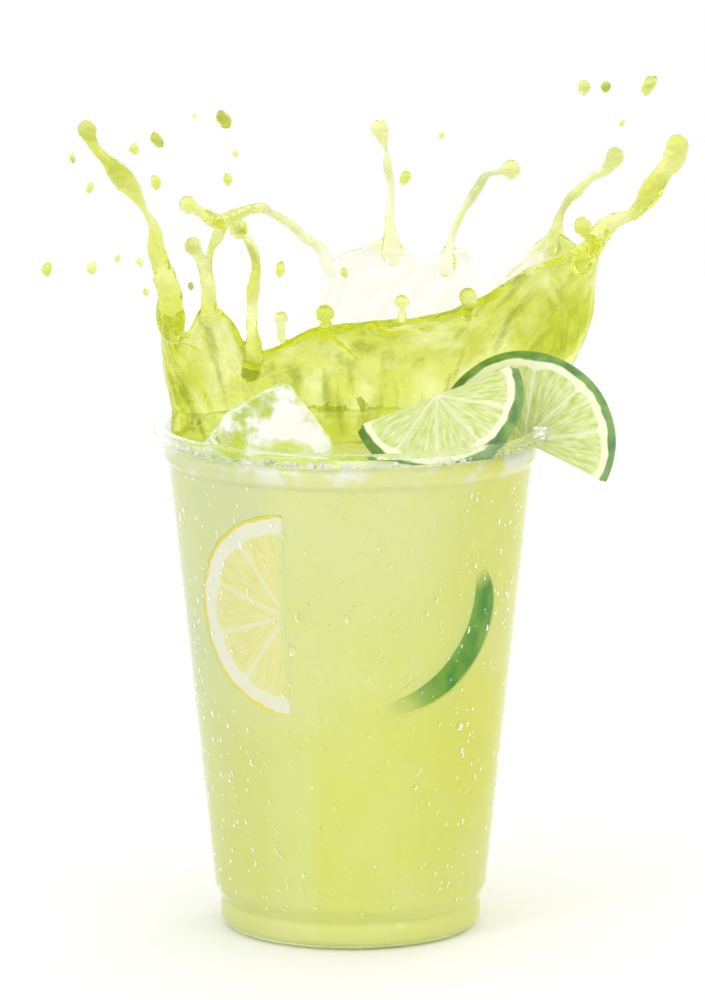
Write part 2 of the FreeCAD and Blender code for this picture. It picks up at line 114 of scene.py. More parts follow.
# Jets, each as (x, y, z, radius) in millimetres along its run.
JETS = {
    "left_tall": ((-44, 0, 150, 3.2), (-45, -1, 160.4, 2.8), (-47.7, -5, 170.6, 2.2),
        (-47.9, -5, 175.5, 1.6),
        (-51.1, -7, 181.9, 1.1), (-55.2, -9, 188.3, 2.9), (-59.3, -11, 193.4, 1.5),
        (-62.2, -12, 196.5, 1.5), (-64.1, -13, 201.0, 2.2)),
    "left_short": ((-34.5, -6, 154, 2.6), (-35.2, -6, 163.3, 1.4), (-36.4, -7, 167.7, 1.6),
        (-38.6, -7, 171.8, 1.9)),
    "prop": ((-35.6, -6, 162, 1.2), (-34.4, -5, 170.2, 1.0), (-32.7, -3, 173.5, 1.3),
        (-31.8, -1, 175.9, 1.6)),
    "arch": ((-5, 44, 158, 1.8), (-7.6, 42, 163.9, 1.3), (-10.9, 40, 166.7, 1.5), (-15.1, 35, 171.2, 1.0),
        (-20, 27, 175.4, 1.0), (-22.4, 22, 177.2, 1.5), (-27.2, 13, 177.3, 1.4), (-32, 4, 176.2, 2.2),
        (-36.7, -2, 179.4, 1.5), (-39.9, -5, 181.7, 2.0)),
    "front_left": ((-24.5, -10, 141, 2.6), (-23.8, -10, 147.7, 1.9), (-24.2, -11, 154.2, 1.6),
        (-23.8, -12, 161.7, 1.7), (-23, -13, 167.9, 1.5), (-24.4, -14, 173.1, 1.3),
        (-25.9, -14, 175.1, 0.8), (-27.3, -15, 177.2, 2.2)),
    "back_one": ((10.5, 44, 162, 2.4), (9.9, 45, 172.3, 1.2), (10.4, 46, 178.7, 1.0), (9.4, 46, 183.8, 1.3),
        (8.9, 46, 188.8, 0.7), (7.4, 47, 193.8, 2.2)),
    "back_two": ((24.4, 43, 159, 2.2), (25.4, 42, 166.4, 1.3), (27.9, 42, 172.7, 1.2), (31.9, 43, 179, 1.5),
        (34.2, 43, 182.7, 1.0), (36.7, 44, 183.2, 0.8), (40.5, 44, 184, 2.2)),
    "right_back": ((51, 25, 167, 2.2), (52.5, 26, 174.9, 1.1), (54.5, 27, 178.4, 1.3), (57.4, 27, 181.2, 1.2),
        (60.5, 28, 184.1, 1.1), (63.5, 28, 185.6, 1.3), (66.2, 29, 189.3, 2.1)),
    "right_bud": ((60, 5, 169, 1.8), (59.4, 12, 170.6, 1.1), (57.7, 18, 173.3, 2.0)),
    "right_tall": ((57, -4, 167, 2.8), (61.7, -3, 174.5, 2.6), (64.1, -3, 177, 2.4), (67.3, -3, 178.3, 1.5),
        (70.3, -2, 179.7, 1.7), (73.2, -2, 183.8, 2.3), (76.3, -1, 188.6, 2.6),
        (79.4, 0, 192.2, 2.9), (80.3, 0, 195.4, 2.6)),
}
# Drops that are about to leave the crown's lip: (x, y, z, radius), in millimetres.
LIP_BEADS = ((-17, -14, 155, 1.9), (-6.2, -18, 156.6, 2.4), (12.5, -21, 160, 1.9), (28.5, -21, 161.5, 2.3))
# Drops that fly free, by the jet that threw them: (right, back, up, radius) from the end of that jet,
# in millimetres.
THROWN_DROPS = {
    "left_tall": ((17, 4, -3, 1.7), (11, 12, -6, 1.4), (33, 14, 1, 2.3), (36, 3, -6, 0.9),
                  (34, 8, -13, 1.2), (16, 18, -15, 1.3), (0, 15, -16, 1.2), (-4, 10, -8, 1.0),
                  (26, 5, 3, 0.6), (0, 22, -37, 1.4), (-11, 20, -37, 1.4), (7, 4, -32, 0.8),
                  (12, 18, -35, 0.8), (14, 2, -40, 0.9)),
    "front_left": ((10, 14, -12, 1.6), (-12, 12, -16, 0.8)),
    "back_one": ((6, -40, -7, 1.4), (15, -44, 4, 0.8), (-9, -32, -32, 1.0)),
    "right_back": ((-8, -5, 18, 1.9), (-3, -12, 19, 1.6), (8, -9, 19, 2.2), (1, -14, 10, 0.8)),
}
SPLASH_TRIANGLES = 185000
STREAKS_MEET = LEVEL + 110 * MM  # the streaks in the sheet fan out below this height

# ---- small things ----
DROPLETS = 1500  # of condensation
DROPLET_HEIGHTS = (9 * MM, 117 * MM)
DROPLET_SIZES = (0.16, 0.2, 0.25, 0.3, 0.3, 0.38, 0.5)  # radii in millimetres
LARGE_SHARE = 0.04  # of the droplets that have run together
BUBBLE_SIZES = (0.3, 0.4, 0.5, 0.7, 1.0)  # radii in millimetres
BUBBLE_CLUSTERS = ((200, 26, 90), (252, 20, 80), (300, 30, 30), (60, 180, 60))  # azimuth, spread, count

# ---- view ----
CAMERA_LENS = 227.2
CAMERA_AT = (0.49 * MM, -1.540, 0.3912)
CAMERA_DIP = 0.18237  # how far it looks down, in radians


def clamp(value):
    return max(0.0, min(1.0, value))


def rgb(red, green, blue):
    """An sRGB colour of 0 to 255 as the linear one that shaders take."""
    linear = [c / 12.92 if c <= 0.04045 else ((c + 0.055) / 1.055) ** 2.4
              for c in (red / 255, green / 255, blue / 255)]
    return (*linear, 1.0)


def behind_plastic(red, green, blue):
    """The colour that something must have so as to look like this one through the cup's wall.

    The wall adds a little gloss, and sends part of the light back in before it gets out."""
    gloss, passed, kept = 0.075, 0.53, 0.44
    bare = [max(0.002, c - gloss) / 0.90 for c in rgb(red, green, blue)[:3]]
    return (*[min(0.985, c / (passed + kept * c)) for c in bare], 1.0)


# ---- materials ----
class Paint:
    """A material built one node at a time. A socket's value is a number, a colour or a link."""

    def __init__(self, name):
        self.material = bpy.data.materials.new(name)
        self.material.use_nodes = True
        self.tree = self.material.node_tree
        self.tree.nodes.clear()
        self.output = self.put("OutputMaterial")

    def put(self, kind, sockets=None, **settings):
        node = self.tree.nodes.new("ShaderNode" + kind)
        for key, value in settings.items():
            setattr(node, key, value)
        for key, value in (sockets or {}).items():
            self.feed(node.inputs[key], value)
        return node

    def feed(self, socket, value):
        if isinstance(value, bpy.types.NodeSocket):
            self.tree.links.new(value, socket)
        else:
            socket.default_value = value

    def place(self):
        return self.put("TexCoord").outputs["Object"]

    def parts(self, vector):
        return self.put("SeparateXYZ", {"Vector": vector}).outputs

    def vector(self, x, y, z):
        return self.put("CombineXYZ", {"X": x, "Y": y, "Z": z}).outputs["Vector"]

    def noise(self, scale, detail=2.0, at=None, roughness=0.5):
        sockets = {"Scale": scale, "Detail": detail, "Roughness": roughness}
        sockets["Vector"] = at if at is not None else self.place()
        return self.put("TexNoise", sockets).outputs["Fac"]

    def maths(self, operation, first, second=0.0):
        node = self.put("Math", operation=operation)
        self.feed(node.inputs[0], first)
        self.feed(node.inputs[1], second)
        return node.outputs[0]

    def times(self, first, second):
        return self.maths("MULTIPLY", first, second)

    def span(self, value, low, high, start=0.0, end=1.0):
        """The value carried smoothly from low..high to start..end."""
        sockets = {"Value": value, "From Min": low, "From Max": high, "To Min": start, "To Max": end}
        return self.put("MapRange", sockets, interpolation_type="SMOOTHSTEP").outputs["Result"]

    def ramp(self, value, stops):
        node = self.put("ValToRGB", {"Fac": value})
        elements = node.color_ramp.elements
        while len(elements) < len(stops):
            elements.new(0.5)
        for element, (position, colour) in zip(elements, stops):
            element.position = position
            element.color = colour
        return node.outputs["Color"]

    def mix(self, share, first, second):
        node = self.put("Mix", data_type="RGBA")
        self.feed(node.inputs[0], share)
        self.feed(node.inputs[6], first)
        self.feed(node.inputs[7], second)
        return node.outputs[2]

    def bump(self, height, strength, distance):
        sockets = {"Height": height, "Strength": strength, "Distance": distance}
        return self.put("Bump", sockets).outputs["Normal"]

    def surface(self, shader):
        self.feed(self.output.inputs["Surface"], shader)
        return self.material

    def principled(self, sockets):
        return self.put("BsdfPrincipled", sockets).outputs["BSDF"]

    def lets_lamps_through(self, shader, tint=(1, 1, 1, 1)):
        """The shader, but clear to rays that look for a lamp and to those that have bounced long.

        Thin plastic and water nearly are, and light that is caught in a thin sheet gets out."""
        path = self.put("LightPath").outputs
        caught = self.maths("GREATER_THAN", path["Ray Depth"], 4.5)
        either = self.maths("MAXIMUM", path["Is Shadow Ray"], caught)
        clear = self.put("BsdfTransparent", {"Color": tint}).outputs["BSDF"]
        node = self.put("MixShader", {"Fac": either})
        self.feed(node.inputs[1], shader)
        self.feed(node.inputs[2], clear)
        return node.outputs["Shader"]


def drink_colour(paint):
    """Cloudy lemonade: pale at the top left, deeper and yellower low down and at the right, with a painted
    reflection as a paler upright stripe left of the middle.
    """
    x, _, z = paint.parts(paint.place())
    stops = ((0.0, 220, 228, 132), (0.18, 222, 228, 112), (0.45, 222, 228, 118),
             (0.65, 221, 228, 136), (0.88, 222, 228, 152), (1.0, 224, 229, 150))
    body = paint.ramp(paint.maths("DIVIDE", z, LEVEL), [(at, behind_plastic(*shade)) for at, *shade in stops])
    pale = paint.span(x, 6 * MM, -44 * MM)
    lower = paint.span(z, 10 * MM, 105 * MM, 0.45, 1.0)
    body = paint.mix(paint.times(pale, lower), body, behind_plastic(210, 221, 163))
    deep = paint.span(x, 8 * MM, 42 * MM, 0.0, 0.75)
    body = paint.mix(deep, body, behind_plastic(226, 227, 104))
    # Painted reflection: a paler upright stripe a little left of the middle, where a tall soft lamp would
    # show in the wall.
    painted_reflection_band = paint.span(paint.maths("ABSOLUTE", paint.maths("ADD", x, 14 * MM)), 8 * MM, 3 * MM, 0.0, 0.5)
    body = paint.mix(painted_reflection_band, body, behind_plastic(226, 232, 150))
    cloud = paint.span(paint.noise(30, 3), 0.4, 0.7, 0.0, 0.5)
    body = paint.mix(cloud, body, behind_plastic(227, 232, 150))
    wisps = paint.span(paint.noise(75, 4), 0.5, 0.75, 0.0, 0.35)
    return paint.mix(wisps, body, behind_plastic(214, 224, 112))


def drink_material():
    paint = Paint("cloudy_lemonade")
    z = paint.parts(paint.place())[2]
    froth = paint.span(paint.noise(110, 4), 0.48, 0.60)
    near_top = paint.span(z, LEVEL - 6 * MM, LEVEL - 1 * MM)
    frothy = paint.times(froth, near_top)
    colour = paint.mix(frothy, drink_colour(paint), behind_plastic(240, 243, 214))
    ripple = paint.bump(paint.noise(160, 2), 0.15, 1 * MM)
    return paint.surface(paint.principled({
        "Base Color": colour, "Roughness": 0.25, "Normal": ripple, "Specular IOR Level": 0.3,
    }))


def cup_material():
    """Thin clear plastic, faintly hazy, with painted shade in grey edges where it is seen edge on."""
    paint = Paint("clear_plastic")
    edge = paint.put("LayerWeight", {"Blend": 0.35}).outputs["Facing"]
    haze = paint.span(paint.noise(60, 3), 0.3, 0.7, 0.0, 0.06)
    colour = paint.mix(haze, rgb(252, 253, 252), rgb(236, 240, 236))
    # Painted shade: grey where the plastic is seen edge on, for dark surroundings that it would show there.
    colour = paint.mix(paint.span(edge, 0.80, 1.0, 0.0, 0.5), colour, rgb(176, 184, 176))
    glass = paint.principled({
        "Base Color": colour, "Roughness": 0.02, "IOR": 1.3, "Transmission Weight": 1.0,
    })
    return paint.surface(paint.lets_lamps_through(glass))


def liquid_material(name, tint, light_tint, olive_painted_shade, absorb, density):
    """Clear yellow-green liquid in the air: bright inside, olive where it is thick, olive painted shade along
    the flow lines and edge on, and painted light that whitens the back low down.
    """
    paint = Paint(name)
    facing = paint.put("LayerWeight", {"Blend": 0.4}).outputs["Facing"]
    x, y, z = paint.parts(paint.place())
    blotch = paint.span(paint.noise(75, 3), 0.40, 0.66, 0.0, 0.9)
    colour = paint.mix(blotch, tint, light_tint)
    fan = paint.times(paint.maths("SUBTRACT", STREAKS_MEET, z), 2400.0)
    run = paint.vector(paint.times(x, fan), paint.times(y, fan), paint.times(z, 46.0))
    # Painted shade: olive lines that fan out along the flow of the sheet.
    painted_streak_shade = paint.span(paint.noise(1.0, 3, run), 0.54, 0.68, 0.0, 0.7)
    colour = paint.mix(painted_streak_shade, colour, olive_painted_shade)
    # Painted light: the back of the sheet, lower down, is painted nearly white.
    back = paint.span(y, 10 * MM, 38 * MM)
    low = paint.span(z, 170 * MM, 160 * MM, 0.30, 1.0)
    colour = paint.mix(paint.times(back, low), colour, rgb(254, 255, 251))
    # Painted shade: olive where the liquid is seen edge on, for dark surroundings that it would show there.
    colour = paint.mix(paint.span(facing, 0.55, 1.0), colour, olive_painted_shade)
    wave = paint.bump(paint.noise(260, 2), 0.15, 1 * MM)
    liquid = paint.principled({
        "Base Color": colour, "Roughness": 0.0, "IOR": 1.32, "Transmission Weight": 1.0, "Normal": wave,
    })
    volume = paint.put("VolumeAbsorption", {"Color": absorb, "Density": density}).outputs["Volume"]
    paint.feed(paint.output.inputs["Volume"], volume)
    return paint.surface(paint.lets_lamps_through(liquid, light_tint))


def water_material():
    paint = Paint("condensation")
    mist = paint.span(paint.noise(400, 1), 0.3, 0.7, 0.0, 0.5)
    glass = paint.principled({
        "Base Color": paint.mix(mist, rgb(255, 255, 255), rgb(240, 245, 225)),
        "Roughness": 0.0, "IOR": 1.33, "Transmission Weight": 1.0,
    })
    return paint.surface(paint.lets_lamps_through(glass))


def bubble_material():
    paint = Paint("froth")
    shade = paint.mix(paint.span(paint.noise(500, 1), 0.3, 0.7), rgb(255, 255, 250), rgb(228, 234, 200))
    return paint.surface(paint.principled({
        "Base Color": shade, "Roughness": 0.05, "IOR": 1.33, "Transmission Weight": 0.2,
    }))


def ice_material():
    """Wet ice: clear, with painted light in a faint green tint for the drink seen through it, and white where
    it is frosted inside.
    """
    paint = Paint("ice")
    flaw = paint.noise(85, 3, roughness=0.6)
    frost = paint.span(flaw, 0.42, 0.56, 0.0, 0.9)
    # Painted light: a faint green tint in patches, for the drink seen through the ice.
    painted_drink_tint = paint.mix(paint.span(paint.noise(60, 2), 0.35, 0.65), rgb(253, 254, 246), rgb(242, 249, 216))
    wave = paint.bump(paint.noise(120, 2), 0.5, 2 * MM)
    clear = paint.principled({
        "Base Color": painted_drink_tint, "Roughness": 0.04, "IOR": 1.31, "Transmission Weight": 1.0, "Normal": wave,
    })
    white = paint.principled({"Base Color": rgb(250, 251, 244), "Roughness": 0.2, "Normal": wave})
    both = paint.put("MixShader", {"Fac": frost})
    paint.feed(both.inputs[1], clear)
    paint.feed(both.inputs[2], white)
    return paint.surface(paint.lets_lamps_through(both.outputs["Shader"], rgb(236, 246, 200)))


def citrus_colour(paint, fruit):
    """Segments, membranes, pith and rind, from the polar place stored on the piece."""
    around, out, _ = paint.parts(paint.put("Attribute", attribute_name="polar").outputs["Vector"])
    wobble = paint.span(paint.noise(180, 2), 0.3, 0.7, -0.012, 0.012)
    out = paint.maths("ADD", out, wobble)
    share = paint.maths("FRACT", paint.times(around, fruit["segments"]))
    side = paint.maths("ABSOLUTE", paint.maths("SUBTRACT", paint.times(share, 2.0), 1.0))
    from_membrane = paint.times(paint.maths("SUBTRACT", 1.0, side), out)
    streak_at = paint.vector(paint.times(around, 46.0), paint.times(out, 5.0), 0.0)
    streaks = paint.noise(1.0, 3, streak_at, 0.6)
    flesh_stops = ((0.30, fruit["flesh_deep"]), (0.50, fruit["flesh"]), (0.68, fruit["vesicle"]))
    flesh = paint.ramp(streaks, flesh_stops)
    membrane = paint.span(from_membrane, 0.035, 0.075, 1.0, 0.0)
    colour = paint.mix(paint.times(membrane, 0.85), flesh, fruit["membrane"])
    corner = paint.times(paint.maths("POWER", side, 6.0), 0.06)
    pith_at = paint.maths("ADD", out, corner)
    in_pith = paint.span(pith_at, fruit["pith_from"], fruit["pith_from"] + 0.03)
    colour = paint.mix(in_pith, colour, fruit["pith"])
    colour = paint.mix(paint.span(out, 0.09, 0.05), colour, fruit["pith"])
    skin = paint.ramp(paint.noise(230, 3), ((0.35, fruit["rind_dark"]), (0.65, fruit["rind"])))
    return paint.mix(paint.span(out, fruit["rind_from"], fruit["rind_from"] + 0.02), colour, skin), streaks


LIME = {
    "segments": 5.0, "flesh": rgb(216, 228, 148), "flesh_deep": rgb(190, 210, 104),
    "vesicle": rgb(236, 241, 196), "membrane": rgb(240, 244, 204), "pith": rgb(247, 247, 212),
    "rind": rgb(134, 172, 84), "rind_dark": rgb(84, 136, 60), "pith_from": 0.87, "rind_from": 0.955,
}
SUNK_LIME = {
    **LIME, "pith": behind_plastic(212, 226, 128), "rind": behind_plastic(114, 158, 70),
    "rind_dark": behind_plastic(84, 136, 56),
}
SUNK_LEMON = {
    "segments": 5.0, "flesh": behind_plastic(238, 233, 152), "flesh_deep": behind_plastic(230, 225, 128),
    "vesicle": behind_plastic(244, 240, 174), "membrane": behind_plastic(249, 246, 200),
    "pith": behind_plastic(252, 250, 214), "rind": behind_plastic(244, 218, 84),
    "rind_dark": behind_plastic(240, 208, 66), "pith_from": 0.80, "rind_from": 0.955,
}


def citrus_material(name, fruit):
    paint = Paint(name)
    colour, streaks = citrus_colour(paint, fruit)
    wet = paint.bump(paint.maths("ADD", streaks, paint.noise(500, 2)), 0.35, 0.5 * MM)
    return paint.surface(paint.principled({
        "Base Color": colour, "Roughness": 0.32, "Normal": wet, "Subsurface Weight": 0.25,
        "Subsurface Radius": (1.0, 1.0, 0.5), "Subsurface Scale": 1.5 * MM, "Coat Weight": 0.4,
    }))


def sunk_material(name, fruit):
    """A slice behind a film of drink: its colour goes over to the drink's with depth."""
    paint = Paint(name)
    colour, _ = citrus_colour(paint, fruit)
    depth = paint.put("Attribute", attribute_name="depth").outputs["Fac"]
    uneven = paint.span(paint.noise(90, 2), 0.3, 0.7, -0.1, 0.1)
    murk = paint.span(paint.maths("ADD", depth, uneven), 0.0, 1.0)
    colour = paint.mix(murk, colour, drink_colour(paint))
    return paint.surface(paint.principled({
        "Base Color": colour, "Roughness": 0.25, "Specular IOR Level": 0.3,
    }))


# ---- mesh helpers ----
def placed(name, data):
    """An object that holds the data, in the scene."""
    thing = bpy.data.objects.new(name, data)
    bpy.context.scene.collection.objects.link(thing)
    return thing


def show(name, mesh, material, slot, *nodes):
    """Shows a mesh as a piece that rides with the cup and stands for some CAD nodes."""
    piece = placed(name, mesh)
    mesh.materials.clear()
    mesh.materials.append(material)
    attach(piece, "root")
    if nodes:
        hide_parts(*nodes)
    return piece


def mesh_of(name, points, faces, smooth=True):
    mesh = bpy.data.meshes.new(name)
    mesh.from_pydata([tuple(p) for p in points], [], faces)
    mesh.validate()
    mesh.polygons.foreach_set("use_smooth", [smooth] * len(mesh.polygons))
    mesh.update()
    return mesh


def modified(mesh, modifiers):
    """The mesh with modifiers applied, each given as (type, settings)."""
    carrier = placed("carrier", mesh)
    for kind, settings in modifiers:
        modifier = carrier.modifiers.new(kind, kind)
        for key, value in settings.items():
            setattr(modifier, key, value)
    graph = bpy.context.evaluated_depsgraph_get()
    made = bpy.data.meshes.new_from_object(carrier.evaluated_get(graph))
    bpy.data.objects.remove(carrier)
    made.polygons.foreach_set("use_smooth", [True] * len(made.polygons))
    return made


def lathe(profile, segments):
    """Points and faces of a profile of (radius, height) turned about the axis; ends on the axis."""
    points = [Vector((0, 0, profile[0][1]))]
    faces = []
    rings = profile[1:-1]
    for radius, height in rings:
        for i in range(segments):
            turn = math.tau * i / segments
            points.append(Vector((radius * math.cos(turn), radius * math.sin(turn), height)))
    points.append(Vector((0, 0, profile[-1][1])))
    last = len(points) - 1
    for i in range(segments):
        after = (i + 1) % segments
        faces.append((0, 1 + after, 1 + i))
        faces.append((last, last - segments + i, last - segments + after))
        for ring in range(len(rings) - 1):
            low = 1 + ring * segments
            faces.append((low + i, low + after, low + segments + after, low + segments + i))
    return points, faces


def between(a, b, c, d, t):
    """The place at share t from b to c of a Catmull-Rom curve through four points."""
    return 0.5 * (2 * b + (c - a) * t + (2 * a - 5 * b + 4 * c - d) * t**2 + (3 * b - a - 3 * c + d) * t**3)


def spline(points, place):
    """A Catmull-Rom curve through a list of vectors; place counts points from 0."""
    count = len(points)
    index = min(int(place), count - 2)
    t = place - index
    b, c = points[index], points[index + 1]
    a = points[index - 1] if index else b + (b - c)
    d = points[index + 2] if index + 2 < count else c + (c - b)
    return between(a, b, c, d, t)


def loop_spline(points, place):
    """The same for a curve that closes on itself."""
    count = len(points)
    index = int(place)
    t = place - index
    a, b, c, d = (points[(index + k) % count] for k in (-1, 0, 1, 2))
    return between(a, b, c, d, t)


def ball(points, faces, centre, radius, stretch=(1, 1, 1), rings=8, segments=12):
    """Adds a closed ball, or an egg when stretched, to a list of points and faces."""
    start = len(points)
    points.append(centre + Vector((0, 0, radius * stretch[2])))
    for i in range(1, rings):
        down = math.pi * i / rings
        for j in range(segments):
            turn = math.tau * j / segments
            away = Vector((math.sin(down) * math.cos(turn), math.sin(down) * math.sin(turn), math.cos(down)))
            points.append(centre + Vector([radius * s * c for s, c in zip(stretch, away)]))
    points.append(centre - Vector((0, 0, radius * stretch[2])))
    last = len(points) - 1
    for j in range(segments):
        after = (j + 1) % segments
        faces.append((start, start + 1 + j, start + 1 + after))
        faces.append((last, last - segments + after, last - segments + j))
        for i in range(rings - 2):
            low = start + 1 + i * segments
            faces.append((low + j, low + segments + j, low + segments + after, low + after))


def tube(points, faces, run, segments=14, per_span=7):
    """Adds a closed tube along a run of 4D vectors (x, y, z, radius), round at both ends."""
    places = [i / per_span for i in range((len(run) - 1) * per_span + 1)]
    samples = [spline(run, place) for place in places]
    start = len(points)
    side = Vector((1, -1, 0)).normalized()
    for i, sample in enumerate(samples):
        ahead = samples[min(i + 1, len(samples) - 1)] - samples[max(i - 1, 0)]
        along = ahead.xyz.normalized()
        first = (side - along * side.dot(along)).normalized()
        second = along.cross(first)
        for j in range(segments):
            turn = math.tau * j / segments
            away = first * math.cos(turn) + second * math.sin(turn)
            uneven = 1 + 0.35 * noise.noise(sample.xyz * 150) + 0.25 * noise.noise((sample.xyz + away) * 330)
            points.append(sample.xyz + away * max(sample.w * uneven, 0.5 * MM))
    for i in range(len(samples) - 1):
        low = start + i * segments
        for j in range(segments):
            after = (j + 1) % segments
            faces.append((low + j, low + after, low + segments + after, low + segments + j))
    faces.append(tuple(start + j for j in reversed(range(segments))))
    faces.append(tuple(len(points) - segments + j for j in range(segments)))
    for end in (samples[0], samples[-1]):
        ball(points, faces, end.xyz, end.w)


def store(mesh, name, kind, values):
    """Keeps one value for each point on a mesh, for its material to read."""
    layer = mesh.attributes.new(name, kind, "POINT")
    key = "vector" if kind == "FLOAT_VECTOR" else "value"
    layer.data.foreach_set(key, [c for v in values for c in v] if key == "vector" else values)


# ---- cup and drink ----
CUP_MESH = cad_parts["cup"].data
CUP_TREE = BVHTree.FromPolygons([v.co for v in CUP_MESH.vertices], [p.vertices[:] for p in CUP_MESH.polygons])
PROBE = Vector((math.cos(1.9), math.sin(1.9), 0))  # a direction in which the walls are measured


def inner_radius(z):
    """The wall's inner radius; low down it is measured from outside the raised base."""
    start = PROBE * (26 * MM if z > 4 * MM else 30 * MM) + Vector((0, 0, z))
    return CUP_TREE.ray_cast(start, PROBE)[0].xy.length


def outer_radius(z):
    start = PROBE * 70 * MM + Vector((0, 0, z))
    return CUP_TREE.ray_cast(start, -PROBE)[0].xy.length


def floor_height(radius):
    start = PROBE * radius + Vector((0, 0, 15 * MM))
    return CUP_TREE.ray_cast(start, Vector((0, 0, -1)))[0].z


def make_drink():
    """The lemonade, out to just inside the plastic, with a meniscus and a rippled top."""
    floor = [(r * MM, floor_height(r * MM) - INTO_WALL) for r in range(0, 31)]
    heights = [i * 0.8 * MM + 1.6 * MM for i in range(150)]
    wall = [(inner_radius(z) + INTO_WALL, z) for z in heights if z < LEVEL]
    edge = inner_radius(LEVEL - 0.3 * MM) + INTO_WALL
    top = []
    for i in range(46):
        radius = edge * (1 - i / 45)
        top.append((radius, LEVEL + 1.1 * MM * math.exp(-(edge - radius) / (1.6 * MM))))
    points, faces = lathe(floor + wall + top, 192)
    for p in points:
        if p.z > LEVEL - 0.01 * MM and p.xy.length < edge - 0.5 * MM:
            p.z += 0.7 * MM * noise.noise(p * 110) + 0.3 * MM * noise.noise(p * 300)
    return show("drink", mesh_of("drink", points, faces), drink_material(), "lemonade", "lemonade")


def dress_cup():
    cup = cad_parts["cup"]
    cup.data.materials.clear()
    cup.data.materials.append(cup_material())
    cup.data.polygons.foreach_set("use_smooth", [True] * len(cup.data.polygons))


# ---- citrus ----
def laid(edge, arc, at):
    """The place of a half wheel whose cut edge runs along edge and whose arc points along arc."""
    x = Vector(edge).normalized()
    z = -Vector(arc)
    z = (z - x * z.dot(x)).normalized()
    y = z.cross(x)
    return Matrix.Translation(at) @ Matrix((x, y, z)).transposed().to_4x4()


def two_skins(columns, rows):
    """The faces of two grids of points that lie back to back, one list after the other."""
    row = rows + 1
    back = (columns + 1) * row
    faces = []
    for i in range(columns):
        for j in range(rows):
            a, b = i * row + j, (i + 1) * row + j
            faces.append((a, a + 1, b + 1, b))
            faces.append((back + a, back + b, back + b + 1, back + a + 1))
    return faces, row, back


def half_wheel(radius, thickness, segments, seed):
    """Points and faces of half a slice: cut edge along X, arc towards -Z, plump segments."""
    rings, turns = 44, 150
    half = thickness / 2
    rise = []
    for i in range(rings + 1):
        share = i / rings
        curve = max(0.0, (share - 0.955) / 0.045)
        rise.append((radius * (0.002 + 0.998 * share), half * math.sqrt(max(0.0, 1 - 0.75 * curve**2))))
    points = []
    for side in (-1, 1):
        for j in range(turns + 1):
            around = j / turns
            angle = math.pi * around
            in_segment = abs(2 * ((around * segments) % 1) - 1)
            for r, height in rise:
                out = r / radius
                window = clamp((out - 0.1) * 8) * clamp((0.87 - out) * 14)
                plump = 0.35 * MM * (1 - in_segment**5) * window
                grain = 0.10 * MM * noise.noise(Vector((around * 50, out * 9, seed + side)))
                lift = height - 0.25 * MM * window + plump + grain * window
                uneven = 1 + 0.012 * noise.noise(Vector((around * 5, seed, 0))) * out
                x = r * uneven * math.cos(angle)
                z = -r * uneven * math.sin(angle)
                points.append(Vector((x, side * lift, z)))
    faces, row, back = two_skins(turns, rings)
    steps = 5
    rim = {(j, 0): j * row + rings for j in range(turns + 1)}
    rim.update({(j, steps): back + j * row + rings for j in range(turns + 1)})
    for j in range(turns + 1):
        front, rear = points[rim[j, 0]], points[rim[j, steps]]
        for k in range(1, steps):
            share = k / steps
            bulge = 1 + 0.05 * thickness / radius * 4 * math.sin(math.pi * share)
            p = front.lerp(rear, share)
            rim[j, k] = len(points)
            points.append(Vector((p.x * bulge, p.y, p.z * bulge)))
    for j in range(turns):
        for k in range(steps):
            faces.append((rim[j, k], rim[j, k + 1], rim[j + 1, k + 1], rim[j + 1, k]))
    for j in (0, turns):
        inner = [(j * row + i, back + j * row + i) for i in range(rings)]
        for (a, b), (c, d) in zip(inner, inner[1:]):
            faces.append((a, b, d, c) if j == 0 else (a, c, d, b))
        a, b = inner[-1]
        fan = [rim[j, k] for k in range(steps + 1)]
        faces.append((a, b, *reversed(fan)) if j == 0 else (a, *fan, b))
    return points, faces


def polar(points, place, radius):
    """Where points lie on a half wheel: share of the half turn, share of the radius, and side."""
    back = place.inverted()
    found = []
    for p in points:
        q = back @ p
        if q.z < 0:
            around = math.atan2(-q.z, q.x) / math.pi
        else:
            around = 0.0 if q.x > 0 else 1.0
        found.append((around, math.hypot(q.x, q.z) / radius, q.y / radius))
    return found


def citrus(name, place, radius, thickness, fruit, slot, node, cutter=None):
    points, faces = half_wheel(radius, thickness, int(fruit["segments"]), len(name))
    mesh = mesh_of(name, [place @ p for p in points], faces)
    cleaned = bmesh.new()
    cleaned.from_mesh(mesh)
    bmesh.ops.remove_doubles(cleaned, verts=cleaned.verts, dist=0.02 * MM)
    bmesh.ops.recalc_face_normals(cleaned, faces=cleaned.faces)
    cleaned.to_mesh(mesh)
    cleaned.free()
    if cutter:
        mesh = modified(mesh, [("BOOLEAN", {"operation": "DIFFERENCE", "object": cutter, "solver": "EXACT"})])
    mesh.set_sharp_from_angle(angle=math.radians(50))
    store(mesh, "polar", "FLOAT_VECTOR", polar([v.co for v in mesh.vertices], place, radius))
    return show(name, mesh, citrus_material(name + "_skin", fruit), slot, node)


def rim_cutter():
    """The rolled rim with a little room round it, and the slit that lets it in."""
    clear = GAP / 2
    low = RIM_TOP - RIM_SLICE_SLIT
    inner, outer = COLLAR_INNER - clear, COLLAR_INNER + CURL_WIDTH + clear
    under, wall = RIM_TOP - CURL_DROP - SHEET / 2 - clear, COLLAR_INNER + SHEET + clear
    outline = ((inner, low), (wall, low), (wall, under), (outer, under), (outer, RIM_TOP + clear),
               (inner, RIM_TOP + clear))
    segments = 240
    points, faces = [], []
    for i in range(segments):
        turn = math.tau * i / segments
        points += [Vector((r * math.cos(turn), r * math.sin(turn), z)) for r, z in outline]
    count = len(outline)
    for i in range(segments):
        a, b = i * count, (i + 1) % segments * count
        for k in range(count):
            after = (k + 1) % count
            faces.append((a + k, b + k, b + after, a + after))
    return placed("cutter", mesh_of("cutter", points, faces))


